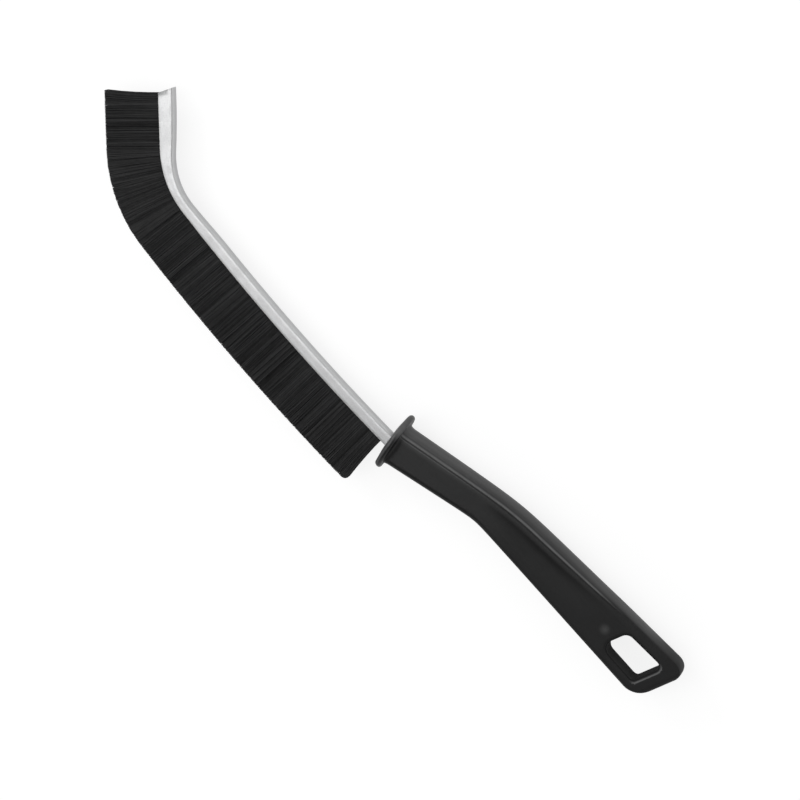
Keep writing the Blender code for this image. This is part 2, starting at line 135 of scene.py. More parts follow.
# Waves along the strip, each with its reach, length and phase. The first gather the outer rows in
# clumps, the second the inner rows, and the third set the shades.
CLUMP_WAVES = ((0.00008, 0.0031, 0.3), (0.00005, 0.0019, 2.1), (0.00018, 0.0083, 4.0),
               (0.00003, 0.0011, 1.2))
DEEP_CLUMP_WAVES = ((0.00012, 0.0043, 1.3), (0.00009, 0.0023, 0.4), (0.00012, 0.0071, 2.6))
SHADE_WAVES = ((0.00008, 0.0027, 0.9), (0.00006, 0.0052, 3.0), (0.00005, 0.0014, 2.2))

# Handle's side outline. Distances run back from the heel, and heights from the lips there.
BACK_START_DEPTH = 0.0095
BACK_NECK_ANGLE = math.radians(14.2)
BACK_GRIP_ANGLE = math.radians(3.8)
BACK_KNEE = 0.0498
BACK_KNEE_SOFTNESS = 0.010
BELLY_START_HEIGHT = 0.0053
BELLY_NECK_ANGLE = math.radians(16)
BELLY_GRIP_ANGLE = math.radians(-0.1)
BELLY_KNEE = 0.0426
BELLY_KNEE_SOFTNESS = 0.003
HANDLE_END = 0.1285
END_CUT_ANGLE = math.radians(16.7)
END_CORNER_RADIUS = 0.006
END_EDGE_RADIUS = 0.002

# Handle's cross-section
NECK_HALF_THICKNESS = 0.0062
END_HALF_THICKNESS = 0.0055
BACK_CROWN = 0.0013
BACK_NARROWING_SHARE = 0.4
BACK_NARROWS_FROM = 0.062
BACK_NARROWS_TO = 0.105
BELLY_EDGE_RADIUS = 0.002
BEAD_WIDTH = 0.0016
BEAD_HEIGHT = 0.0003
BEAD_PEAK_SHARE = 0.55
BEAD_STEP = 0.0003
BEAD_FADE_FROM = 0.085
BEAD_FADE_TO = 0.100
SCOOP_FROM = 0.040
SCOOP_TO = 0.098
SCOOP_DEPTH = 0.0012
SCOOP_MARGIN = 0.0018
DISH_PEAK = (1 / 3) * (2 / 3) ** 2

# Finger guard
GUARD_SETBACK = 0.0024
GUARD_CENTRE_DROP = 0.0029
GUARD_TILT = math.radians(12)
GUARD_LENGTH = 0.0222
GUARD_WIDTH = 0.0199
GUARD_THICKNESS = 0.0023
GUARD_FRONT_RADIUS = 0.0011
GUARD_REAR_RADIUS = 0.0011
GUARD_CROWN = 0.0005
GUARD_CROWN_INSET = 0.0045
GUARD_FACE_SHARES = (0, 0.25, 0.5, 0.75)
NECK_FILLET_LENGTH = 0.0022
NECK_FILLET_SHARE = 0.45

# Hanging hole. Its rim widens over the range in which an outward direction faces the handle's end.
HOLE_LENGTH = 0.0164
HOLE_END_BAR = 0.0060
HOLE_BACK_BAR = 0.0049
HOLE_BELLY_BAR = 0.0038
HOLE_TOE_RADIUS = 0.0032
HOLE_END_RADIUS = 0.0019
HOLE_RIM_RADIUS = 0.0008
HOLE_END_RIM_RADIUS = 0.0014
HOLE_RIM_TURN = math.radians(78)
HOLE_RIM_STEPS = 9
HOLE_CORNER_STEPS = 10
HOLE_FLARE_ANGLE = math.radians(12)
HOLE_OVERRUN = 0.0004
HOLE_END_FACING = (0.2, 0.9)

# Socket for the channel's tang
SOCKET_GAP = 0.0001
SOCKET_OVERRUN = 0.002

# Shallow round dimple beside the hole, from the heel
DIMPLE_AT = Vector((-0.1005, -0.0159))
DIMPLE_RADIUS = 0.0026
DIMPLE_DEPTH = 0.0002

# Painted light on the handle, from 0 to 1: pale grey that paints highlights along the crown, the
# beads, the guard's front rim, the hole's end rim and the dimple. It also lifts the shaded hole
# walls, the guard's back end and the sides below the bead, more so near the guard. A pair is the
# range over which a value fades.
DIMPLE_HIGHLIGHT = 0.33
GUARD_RIM_HIGHLIGHT = 0.55
GUARD_RIM_AT = 0.7
GUARD_RIM_FADE = (0.1, 0.55)
GUARD_BACK_PAINTED_LIGHT = 0.85
GUARD_BACK_FADE = (0.15, 0.6)
HOLE_RIM_HIGHLIGHT = 0.7
HOLE_RIM_FADE = (0.6, 0.95)
HOLE_WALL_PAINTED_LIGHT = 0.3
HOLE_WALL_FADE = (0, 0.3)
CROWN_SHEEN = 0.33
CROWN_RISE = (0, 0.45)
CROWN_FALL = (0.8, 1)
CROWN_FALL_SHARE = 1 / 3
BEAD_HIGHLIGHT_START = 0.5
BEAD_RISE = (0.1, 0.4)
BEAD_FALL = (0.5, 0.85)
SIDE_PAINTED_LIGHT = 0.08
SIDE_PAINTED_LIGHT_REACH = 0.0022
SECOND_LINE_HIGHLIGHT = 0.6
NECK_CROWN_SHEEN = 0.55
NECK_SIDE_PAINTED_LIGHT = 0.22
NECK_FADE = (0.018, 0.045)

# Where the handle is dull, from 0 to 1, and how much a full dulling adds to the roughness
DULLING_ROUGHNESS = 0.6
PANEL_DULLING = 0.5
NECK_PANEL_DULLING = 0.12
PANEL_DULLS_OVER = 0.018
PANEL_EDGE_STEPS = 4
END_DULLING = 0.45
END_DULLING_FADE = (0.108, 0.123)

# How finely curves are divided
STRIP_STEP = 0.0007
BODY_STEPS = 170
END_STEPS = 14
CROWN_STEPS = 12
BEAD_STEPS = 8
BEAD_END_STEP = CROWN_STEPS + BEAD_STEPS
SIDE_STEPS = 30
CORNER_STEPS = 8
LIP_STEPS = 3
SMOOTH_ANGLE = math.radians(38)

# Camera: it looks at the photograph's middle, whose place is given from the heel, and leans from
# straight above towards the photograph's right and top
PHOTO_RIGHT = Vector((-0.6705, -0.7419, 0))
PHOTO_UP = Vector((0.7419, -0.6705, 0))
VIEW_RIGHT = 0.22
VIEW_UP = 0.16
VIEW_DISTANCE = 1.2195
VIEW_TARGET = Vector((0.00593, -0.01453, 0))
LENS_MM = 157.5
SENSOR_MM = 36
CLIP_START = 0.01
CLIP_END = 20

# Studio: strengths of light, and the lamps' places, targets, sizes and watts
ROOM_LIGHT = 0.62
WALL_LIGHT = 0.62
CEILING_LIGHT = 0.12
WALLS_TO_CEILING = (0.4, 0.85)
WALL_LEAN = 0.5
TOP_LAMP = ((0.285, 0.16, 0.9), (0.1, 0.05, 0), (0.54, 0.85), 1.9)
TOE_LAMP = ((0.75, -0.05, 0.5), (0, 0, 0), (0.3, 0.3), 1.2)
FLOOR_REACH = 6
FLOOR_TONE = 0.25
FLOOR_ROUGHNESS = 0.9
FLOOR_SEEN = 0.81
FLOOR_MIRRORED = 0.34

# Colours
PLASTIC_BLACK = (0.0045, 0.0046, 0.0048)
# Pale grey mixed into the black plastic as painted highlights and painted light on shaded parts
PLASTIC_PAINTED_LIGHT = (0.12, 0.1203, 0.121)
ZINC_PALE = (0.88, 0.883, 0.887)
ZINC_DULL = (0.72, 0.724, 0.728)
# Darker grey painted on the steel as shade beside the lips at the toe
ZINC_PAINTED_SHADE = (0.34, 0.342, 0.344)
WIRE_PALE = (0.56, 0.56, 0.57)
WIRE_DULL = (0.36, 0.36, 0.37)
NYLON_BLACK = (0.0137, 0.0137, 0.014)
NYLON_PALE = (0.0275, 0.0275, 0.028)
WHITE = (1, 1, 1, 1)

# Where most of a noise's values lie
NOISE_SPAN = (0.3, 0.7)

RANDOM_SEED = 11


def smoothstep(low, high, value):
    share = np.clip((np.asarray(value, float) - low) / (high - low), 0, 1)
    return share * share * (3 - 2 * share)


def fade_in(low, high, value):
    """From 0 to 1, as a single number goes from low to high."""
    return float(smoothstep(low, high, value))


def fade_out(low, high, value):
    return 1 - fade_in(low, high, value)


def soft_ramp(distance, softness):
    return (distance + math.hypot(distance, softness)) / 2


# The strip's path

def strip_place(distance):
    """The lips' centre line at distances from the heel: x, y and its angle."""
    left = np.asarray(distance, float)
    angle = np.full_like(left, HEEL_TILT)
    x = np.minimum(left, 0) * math.cos(HEEL_TILT)
    y = np.minimum(left, 0) * math.sin(HEEL_TILT)
    left = np.maximum(left, 0)
    for length, turn_rate in STRIP_PARTS:
        step = np.minimum(left, length)
        turned = angle - turn_rate * step
        if turn_rate:
            x = x + (np.sin(angle) - np.sin(turned)) / turn_rate
            y = y + (np.cos(turned) - np.cos(angle)) / turn_rate
        else:
            x = x + np.cos(angle) * step
            y = y + np.sin(angle) * step
        angle = turned
        left = left - step
    return x, y, angle


def strip_points(distance, out, across, lean=0.0):
    """Points by their distance along the lips, their distance out from them and their place in Z."""
    distance, out, across, lean = np.broadcast_arrays(distance, out, across, lean)
    x, y, angle = strip_place(distance)
    upright = angle + math.pi / 2 - lean
    return np.stack((x + np.cos(upright) * out, y + np.sin(upright) * out, across), axis=-1)


def channel_depth(distance):
    in_bend = 1 - smoothstep(0, BEND_LENGTH, np.abs(distance - THINNEST_AT))
    at_toe = smoothstep(DEEPENS_FROM, DEEPENS_TO, distance)
    return CHANNEL_DEPTH - BEND_DRAW_IN * in_bend + TOE_DEEPENING * at_toe


def quarter_turns(steps):
    return [math.pi / 2 * i / steps for i in range(steps + 1)]


def channel_half(depth, mouth, width, corner, is_inside):
    """Half of a channel's outline, from its lip to the middle of its web, as (out, across)."""
    side = -1 if is_inside else 1
    lip = LIP_RADIUS
    points = []
    for turn in quarter_turns(LIP_STEPS):
        points.append((-lip + lip * math.cos(turn), mouth / 2 - side * lip * (1 - math.sin(turn))))
    wall_from, wall_to = -lip, -depth + corner
    for share in WALL_SHARES:
        across = mouth / 2 + (width - mouth) / 2 * share
        points.append((wall_from + (wall_to - wall_from) * share, across))
    for turn in quarter_turns(CORNER_STEPS):
        out = -depth + corner - corner * math.sin(turn)
        points.append((out, width / 2 - corner + corner * math.cos(turn)))
    points.append((-depth, (width / 2 - corner) / 2))
    return points


def mirrored(half):
    return half + [(out, -across) for out, across in reversed(half)]


def channel_section(depth):
    outside = channel_half(depth, CHANNEL_MOUTH, CHANNEL_WIDTH, CHANNEL_CORNER, False)
    mouth = CHANNEL_MOUTH - 2 * CHANNEL_WALL
    width = CHANNEL_WIDTH - 2 * CHANNEL_WALL
    inside = channel_half(depth - CHANNEL_WALL, mouth, width, CHANNEL_CORNER - CHANNEL_WALL, True)
    return np.array(mirrored(outside) + mirrored(inside)[::-1])


def toe_ring():
    """The channel's slanted end at the toe, before it is moved to its place."""
    section = channel_section(float(channel_depth(STRIP_LENGTH)))
    distance = STRIP_LENGTH - section[:, 0] * math.tan(TOE_CUT_ANGLE)
    return strip_points(distance, section[:, 0], section[:, 1])


def heel_place():
    """Where the heel is in the part's frame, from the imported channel's box."""
    low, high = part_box("brush_channel")
    toe = toe_ring()
    return Vector((high.x - toe[:, 0].max(), low.y - toe[:, 1].min(), (low.z + high.z) / 2))


HEEL = heel_place()


def linked_object(name, data):
    made = bpy.data.objects.new(name, data)
    bpy.context.scene.collection.objects.link(made)
    return made


def smooth(mesh):
    mesh.shade_smooth()
    mesh.set_sharp_from_angle(angle=SMOOTH_ANGLE)


def add_object(name, points, faces):
    """A smooth mesh object of points laid out from the heel, moved to its place."""
    mesh = bpy.data.meshes.new(name)
    placed = np.asarray(points, float) + np.array(HEEL)
    mesh.from_pydata(placed.tolist(), [], faces)
    mesh.validate()
    bm = bmesh.new()
    bm.from_mesh(mesh)
    bmesh.ops.recalc_face_normals(bm, faces=bm.faces[:])
    bm.to_mesh(mesh)
    bm.free()
    smooth(mesh)
    return linked_object(name, mesh)


def band(near, far, count):
    """Faces between two rings of equally many points, from the numbers of their first points."""
    faces = []
    for i in range(count):
        j = (i + 1) % count
        faces.append((near + i, near + j, far + j, far + i))
    return faces


def ring_faces(rows, count):
    """Faces that skin rings of equally many points, one after another, with both ends closed."""
    faces = []
    for row in range(rows - 1):
        faces += band(row * count, (row + 1) * count, count)
    faces.append(tuple(range(count)))
    faces.append(tuple(range((rows - 1) * count, rows * count)))
    return faces


def point_attribute(thing, name, vectors):
    attribute = thing.data.attributes.new(name, "FLOAT_VECTOR", "POINT")
    attribute.data.foreach_set("vector", np.asarray(vectors, np.float32).ravel())


# Materials

def new_material(name):
    made = bpy.data.materials.new(name)
    made.use_nodes = True
    return made, made.node_tree, made.node_tree.nodes["Principled BSDF"]


def node(tree, kind, **values):
    """A node with its settings and its unlinked inputs, by name. An input's name has _ for a space."""
    made = tree.nodes.new(kind)
    for key, value in values.items():
        if hasattr(made, key):
            setattr(made, key, value)
        else:
            made.inputs[key.replace("_", " ")].default_value = value
    return made


def stretched(tree, vector, scale):
    mapping = node(tree, "ShaderNodeMapping")
    mapping.inputs["Scale"].default_value = scale
    tree.links.new(vector, mapping.inputs["Vector"])
    return mapping.outputs["Vector"]


def noise(tree, vector, scale, detail=3.0, roughness=0.55):
    made = node(tree, "ShaderNodeTexNoise", Scale=scale, Detail=detail, Roughness=roughness)
    tree.links.new(vector, made.inputs["Vector"])
    return made.outputs["Fac"]


def mapped(tree, value, source, target):
    """A value taken from its source range to the target range, and held inside that."""
    made = node(tree, "ShaderNodeMapRange")
    made.inputs["From Min"].default_value, made.inputs["From Max"].default_value = source
    made.inputs["To Min"].default_value, made.inputs["To Max"].default_value = target
    tree.links.new(value, made.inputs["Value"])
    return made.outputs["Result"]


def combined(tree, first, second, operation="ADD"):
    made = node(tree, "ShaderNodeMath", operation=operation)
    for i, value in enumerate((first, second)):
        if isinstance(value, (int, float)):
            made.inputs[i].default_value = value
        else:
            tree.links.new(value, made.inputs[i])
    return made.outputs["Value"]


def summed(tree, total, *others):
    for other in others:
        total = combined(tree, total, other)
    return total


def multiplied(tree, first, second):
    return combined(tree, first, second, "MULTIPLY")


def xyz_parts(tree, vector):
    made = node(tree, "ShaderNodeSeparateXYZ")
    tree.links.new(vector, made.inputs["Vector"])
    return made.outputs


def object_place(tree):
    return node(tree, "ShaderNodeTexCoord").outputs["Object"]


def point_vector(tree, name):
    """The mesh's point attribute of this name."""
    return node(tree, "ShaderNodeAttribute", attribute_name=name).outputs["Vector"]


def mirrored_rays(tree, path):
    """1 for the rays that a mirroring surface or glass sends on, and 0 for all others."""
    return combined(tree, path["Is Glossy Ray"], path["Is Transmission Ray"], "MAXIMUM")


def mixed_colour(tree, share, first, second):
    """A mix of two colours, each of which is a tuple or another node's output."""
    made = node(tree, "ShaderNodeMix", data_type="RGBA")
    tree.links.new(share, made.inputs["Factor"])
    sockets = [s for s in made.inputs if s.type == "RGBA"]
    for socket, colour in zip(sockets, (first, second)):
        if isinstance(colour, tuple):
            socket.default_value = (*colour, 1)
        else:
            tree.links.new(colour, socket)
    return [s for s in made.outputs if s.type == "RGBA"][0]


def bump(tree, height, strength, distance, normal=None):
    made = node(tree, "ShaderNodeBump", Strength=strength, Distance=distance)
    tree.links.new(height, made.inputs["Height"])
    if normal:
        tree.links.new(normal, made.inputs["Normal"])
    return made.outputs["Normal"]


def plastic_material():
    """Black moulded plastic with faint flow clouds and a fine spark-eroded grain.

    Its point attribute gives painted light in X, pale grey that paints highlights and lifts shaded
    parts, and where it is duller in Y.
    """
    made, tree, shader = new_material("black_moulded_plastic")
    place = object_place(tree)
    clouds = noise(tree, place, scale=90, detail=4, roughness=0.6)
    grain = noise(tree, place, scale=5200, detail=2, roughness=0.5)
    along = stretched(tree, place, scale=(260, 1400, 1400))
    scuffs = noise(tree, along, scale=1, detail=5, roughness=0.65)
    painted_light_and_dulling = xyz_parts(tree, point_vector(tree, "painted_light_and_dulling"))
    # Painted light: the attribute's X mixes in pale grey as painted highlights and lifted shade, broken
    # up by the scuffs
    painted_light = multiplied(tree, painted_light_and_dulling["X"], mapped(tree, scuffs, (0.3, 0.6), (0.7, 1)))
    tone = summed(tree, mapped(tree, clouds, NOISE_SPAN, (0, 0.035)), painted_light)
    tree.links.new(mixed_colour(tree, tone, PLASTIC_BLACK, PLASTIC_PAINTED_LIGHT), shader.inputs["Base Color"])
    rough = summed(tree, mapped(tree, clouds, NOISE_SPAN, (0.29, 0.35)),
                   mapped(tree, scuffs, (0.45, 0.75), (0, 0.08)),
                   multiplied(tree, painted_light_and_dulling["Y"], DULLING_ROUGHNESS))
    tree.links.new(rough, shader.inputs["Roughness"])
    shader.inputs["Specular IOR Level"].default_value = 0.5
    coarse = bump(tree, noise(tree, place, scale=420, detail=2), strength=0.08, distance=0.0002)
    fine = bump(tree, grain, strength=0.12, distance=0.00006, normal=coarse)
    tree.links.new(fine, shader.inputs["Normal"])
    return made


def steel_material():
    """Galvanised sheet with faint spangles, fine rolling lines along the strip and dull spots.

    Its point attribute gives in X where a darker patch is painted beside the lips at the toe, as
    painted shade.
    """
    made, tree, shader = new_material("galvanised_sheet")
    place = point_vector(tree, "strip_place")
    spangle = node(tree, "ShaderNodeTexVoronoi", Scale=420.0)
    tree.links.new(place, spangle.inputs["Vector"])
    grains = node(tree, "ShaderNodeSeparateColor")
    tree.links.new(spangle.outputs["Color"], grains.inputs["Color"])
    along = stretched(tree, place, scale=(180, 9000, 9000))
    lines = noise(tree, along, scale=1, detail=3, roughness=0.6)
    spots = noise(tree, place, scale=1900, detail=4, roughness=0.6)
    tone = summed(tree, mapped(tree, grains.outputs["Red"], (0, 1), (0, 0.3)),
                  mapped(tree, spots, (0.4, 0.75), (0, 0.4)),
                  mapped(tree, lines, NOISE_SPAN, (0, 0.25)))
    sheet = mixed_colour(tree, tone, ZINC_PALE, ZINC_DULL)
    # Painted shade: a darker patch on the walls beside the lips at the toe
    toe_shade = xyz_parts(tree, point_vector(tree, "toe_shade"))
    painted_toe_shade = multiplied(tree, toe_shade["X"], mapped(tree, spots, (0.35, 0.6), (0.75, 1)))
    tree.links.new(mixed_colour(tree, painted_toe_shade, sheet, ZINC_PAINTED_SHADE), shader.inputs["Base Color"])
    rough = summed(tree, mapped(tree, grains.outputs["Green"], (0, 1), (0.33, 0.40)),
                   mapped(tree, spots, (0.4, 0.75), (0, 0.14)))
    tree.links.new(rough, shader.inputs["Roughness"])
    shader.inputs["Metallic"].default_value = 1.0
    rolled = bump(tree, lines, strength=0.15, distance=0.00003)
    spotted = bump(tree, spots, strength=0.15, distance=0.00006, normal=rolled)
    tree.links.new(spotted, shader.inputs["Normal"])
    return made


def wire_material():
    """Drawn steel wire with a fine grain and dull patches."""
    made, tree, shader = new_material("drawn_wire")
    place = object_place(tree)
    patches = noise(tree, place, scale=900, detail=4, roughness=0.6)
    tree.links.new(mixed_colour(tree, patches, WIRE_PALE, WIRE_DULL), shader.inputs["Base Color"])
    tree.links.new(mapped(tree, patches, NOISE_SPAN, (0.28, 0.48)), shader.inputs["Roughness"])
    shader.inputs["Metallic"].default_value = 1.0
    drawn = bump(tree, noise(tree, place, scale=4000), strength=0.2, distance=0.00004)
    tree.links.new(drawn, shader.inputs["Normal"])
    return made


def nylon_material():
    """Black nylon filaments, a little paler towards their worn tips.

    Their strand attribute gives each one's shade in X and gloss in Z, and the way to its tip in Y.
    """
    made, tree, shader = new_material("black_nylon_filaments")
    strand = point_vector(tree, "strand")
    parts = xyz_parts(tree, strand)
    mottle = mapped(tree, noise(tree, object_place(tree), scale=500, detail=3), NOISE_SPAN, (0, 0.35))
    tip = mapped(tree, parts["Y"], (0.8, 1), (0, 0.25))
    along = stretched(tree, strand, scale=(40, 5, 40))
    streaks = mapped(tree, noise(tree, along, scale=1, detail=2), NOISE_SPAN, (0.1, 0.4))
    tone = summed(tree, parts["X"], mottle, streaks, tip)
    tree.links.new(mixed_colour(tree, tone, NYLON_BLACK, NYLON_PALE), shader.inputs["Base Color"])
    tree.links.new(mapped(tree, parts["Z"], (0, 1), (0.52, 0.62)), shader.inputs["Roughness"])
    shader.inputs["Specular IOR Level"].default_value = 0.25
    return made


# Channel

def toe_painted_shade(gap, out):
    """Painted shade on the walls at a gap from the cut at the toe, only beside the lips."""
    beside_lips = 1 - smoothstep(TOE_SHADE_REACH - TOE_SHADE_FADE, TOE_SHADE_REACH, -out)
    shade_share = (1 - smoothstep(TOE_SHADE_FROM, TOE_SHADE_TO, gap)) * beside_lips
    return np.stack((shade_share, np.zeros_like(shade_share), np.zeros_like(shade_share)), axis=-1)


def make_channel(paint):
    distances = np.arange(-TANG_LENGTH, STRIP_LENGTH - STRIP_STEP / 2, STRIP_STEP)
    rings = []
    places = []
    toe_shades = []
    for distance in distances:
        section = channel_section(float(channel_depth(distance)))
        out = section[:, 0]
        wave = sum(math.sin(distance * rate + phase) for rate, phase in WALL_WAVES)
        swell = 1 + WALL_WAVE_REACH * wave / CHANNEL_WIDTH * 2
        rings.append(strip_points(distance, out, section[:, 1] * swell))
        girth = np.concatenate(([0], np.cumsum(np.hypot(*np.diff(section, axis=0).T))))
        places.append(np.stack((np.full_like(girth, distance), girth, np.zeros_like(girth)), axis=-1))
        toe_shades.append(toe_painted_shade(STRIP_LENGTH - out * math.tan(TOE_CUT_ANGLE) - distance, out))
    rings.append(toe_ring())
    places.append(places[-1] + np.array([STRIP_STEP, 0, 0]))
    toe_shades.append(toe_painted_shade(0, channel_section(float(channel_depth(STRIP_LENGTH)))[:, 0]))
    count = len(rings[0])
    thing = add_object("channel", np.concatenate(rings), ring_faces(len(rings), count))
    point_attribute(thing, "strip_place", np.concatenate(places))
    point_attribute(thing, "toe_shade", np.concatenate(toe_shades))
    thing.data.materials.append(paint)
    return thing


# Filaments

def end_lean(distance):
    at_heel = 1 - smoothstep(0, END_SPLAY_REACH, distance)
    at_toe = smoothstep(STRIP_LENGTH - END_SPLAY_REACH, STRIP_LENGTH, distance)
    return END_SPLAY * (at_toe - at_heel)


def heel_tip_drop(distance):
    """How far the tips near the heel are trimmed back, which rounds the row's corner."""
    from_edge = HEEL_TIP_RADIUS - np.clip(distance, 0, HEEL_TIP_RADIUS)
    return HEEL_TIP_RADIUS - np.sqrt(HEEL_TIP_RADIUS**2 - from_edge**2)


def clump(distance, waves):
    """A smooth wander along the strip, which gathers neighbouring filaments in clumps."""
    total = np.zeros_like(distance)
    for reach, length, phase in waves:
        total += reach * np.sin(distance * 2 * math.pi / length + phase)
    return total


def make_backing(start, end):
    """The slice of folded roots in the channel, with its bore for the wire: points and faces."""
    sides = BACKING_SIDES
    bore_radius = WIRE_RADIUS + CLEARANCE / 3
    points = []
    for i in range(BACKING_STEPS + 1):
        distance = start + (end - start) * i / BACKING_STEPS
        bottom = -(float(channel_depth(distance)) - CHANNEL_WALL - CLEARANCE)
        middle = (-BACKING_DROP + bottom) / 2
        half_height = (-BACKING_DROP - bottom) / 2
        outer = []
        bore = []
        for k in range(sides):
            turn = 2 * math.pi * k / sides
            across, out = math.sin(turn), math.cos(turn)
            reach = max(abs(across), abs(out))
            outer.append((middle + out / reach * half_height, across / reach * ROOT_WIDTH / 2))
            bore.append((-WIRE_DEPTH + bore_radius * out, bore_radius * across))
        for pairs in (np.array(outer), np.array(bore)):
            points.append(strip_points(distance, pairs[:, 0], pairs[:, 1]))
    faces = []
    for i in range(BACKING_STEPS):
        for layer in (0, 1):
            faces += band((2 * i + layer) * sides, (2 * i + 2 + layer) * sides, sides)
    for first in (0, 2 * BACKING_STEPS * sides):
        faces += band(first, first + sides, sides)
    return np.concatenate(points), faces


def make_filaments(number, chance):
    """One bank's filaments: points, faces and each point's strand values."""
    bank_length = STRIP_LENGTH / BANK_COUNT
    columns, rows = FILAMENT_COLUMNS, FILAMENT_ROWS
    grids = np.meshgrid(np.arange(columns), np.arange(rows), indexing="ij")
    column, row = (grid.ravel() for grid in grids)
    count = len(column)

    stagger = (row % 2) * 0.5
    stray = chance.uniform(-ROOT_STRAY, ROOT_STRAY, count)
    pitch = bank_length / columns
    root_at = bank_length * number + (column + FIRST_COLUMN + stagger + stray) * pitch
    root_at = np.clip(root_at, FILAMENT_RADIUS, STRIP_LENGTH - FILAMENT_RADIUS)
    row_share = (row + 0.5) / rows - 0.5 + chance.uniform(-ROW_STRAY, ROW_STRAY, count) / rows
    outer_share = np.abs(row_share) * 2
    side = np.sign(row_share)

    waves = clump(root_at, CLUMP_WAVES) * outer_share
    waves += clump(root_at, DEEP_CLUMP_WAVES) * (1 - outer_share)
    shift = waves * np.where(side > 0, 1.0, -FAR_SIDE_SHARE) + chance.normal(0, SHIFT_SPREAD, count)
    shift *= smoothstep(0, SHIFT_CALM, np.minimum(root_at, STRIP_LENGTH - root_at))
    lean = end_lean(root_at)

    root_across = row_share * (ROOT_WIDTH - 2 * FILAMENT_RADIUS)
    side_wave = clump(root_at + SIDE_OFFSET * side, CLUMP_WAVES) * SIDE_WAVE_SHARE
    tip_across = row_share * BRISTLE_TIP_WIDTH + side * side_wave * outer_share
    tip_across += chance.normal(0, TIP_SPREAD, count)
    tip_across = np.clip(tip_across, -BRISTLE_TIP_WIDTH / 2, BRISTLE_TIP_WIDTH / 2)
    worn = np.abs(chance.normal(0, LENGTH_SPREAD, count))
    length = BRISTLE_LENGTH - heel_tip_drop(root_at) - worn
    bow = chance.normal(0, BOW_SPREAD, count)
    shade = BASE_SHADE + SHADE_GAIN * clump(root_at, SHADE_WAVES)
    shade = np.clip(shade + chance.normal(0, SHADE_SPREAD, count), 0, 1)
    gloss = chance.uniform(0, 1, count)
    first_turn = chance.uniform(0, 2 * math.pi, count)

    points = []
    strand = []
    for part in range(FILAMENT_PARTS + 1):
        share = part / FILAMENT_PARTS
        out = -BACKING_DROP - ROOT_SINK + (length + BACKING_DROP + ROOT_SINK) * share
        rise = np.clip(out / BRISTLE_LENGTH, 0, 1)
        at = root_at + shift * rise ** SHIFT_POWER + bow * 4 * rise * (1 - rise)
        at = np.clip(at, FILAMENT_RADIUS, STRIP_LENGTH - FILAMENT_RADIUS - TOE_TRIM * rise)
        across = root_across + (tip_across - root_across) * rise ** FAN_POWER
        radius = FILAMENT_RADIUS * (1 - TIP_TAPER * share)
        for corner in range(FILAMENT_SIDES):
            turn = first_turn + 2 * math.pi * corner / FILAMENT_SIDES
            points.append(strip_points(at + radius * np.cos(turn), out,
                                       across + radius * np.sin(turn), lean * rise))
            strand.append(np.stack((shade, np.full(count, share), gloss), axis=-1))
    points = np.stack(points, axis=1)
    strand = np.stack(strand, axis=1)

    per_strand = points.shape[1]
    faces = []
    for first in range(0, count * per_strand, per_strand):
        last = first + per_strand - FILAMENT_SIDES
        faces.append(tuple(first + k for k in reversed(range(FILAMENT_SIDES))))
        for near in range(first, last, FILAMENT_SIDES):
            faces += band(near, near + FILAMENT_SIDES, FILAMENT_SIDES)
        faces.append(tuple(last + k for k in range(FILAMENT_SIDES)))
    return points.reshape(-1, 3), faces, strand.reshape(-1, 3)


def make_bank(number, paint, chance):
    bank_length = STRIP_LENGTH / BANK_COUNT
    backing, backing_faces = make_backing(bank_length * number, bank_length * (number + 1))
    strands, strand_faces, values = make_filaments(number, chance)
    offset = len(backing)
    faces = backing_faces + [tuple(offset + i for i in face) for face in strand_faces]
    thing = add_object(f"filaments_{number + 1:02d}", np.concatenate((backing, strands)), faces)
    backing_values = np.full((offset, 3), BACKING_SHADE)
    point_attribute(thing, "strand", np.concatenate((backing_values, values)))
    thing.data.materials.append(paint)
    return thing


# Handle

def back_height(distance):
    bend = math.tan(BACK_NECK_ANGLE) - math.tan(BACK_GRIP_ANGLE)
    straight = -BACK_START_DEPTH - math.tan(BACK_NECK_ANGLE) * distance
    return straight + bend * soft_ramp(distance - BACK_KNEE, BACK_KNEE_SOFTNESS)


def belly_height(distance):
    bend = math.tan(BELLY_NECK_ANGLE) - math.tan(BELLY_GRIP_ANGLE)
    straight = BELLY_START_HEIGHT - math.tan(BELLY_NECK_ANGLE) * distance
    return straight + bend * soft_ramp(distance - BELLY_KNEE, BELLY_KNEE_SOFTNESS)


def slice_ends(middle, slant):
    half = (belly_height(middle) - back_height(middle)) / 2
    lead = half * math.tan(slant)
    return middle - lead, middle + lead


NECK_START = GUARD_SETBACK + GUARD_THICKNESS
FIRST_SLICE = slice_ends(NECK_START, GUARD_TILT)
LAST_SLICE = slice_ends(HANDLE_END, -END_CUT_ANGLE)
BODY_LENGTH = HANDLE_END - NECK_START


def ease(share):
    return (1 - math.cos(math.pi * share)) / 2


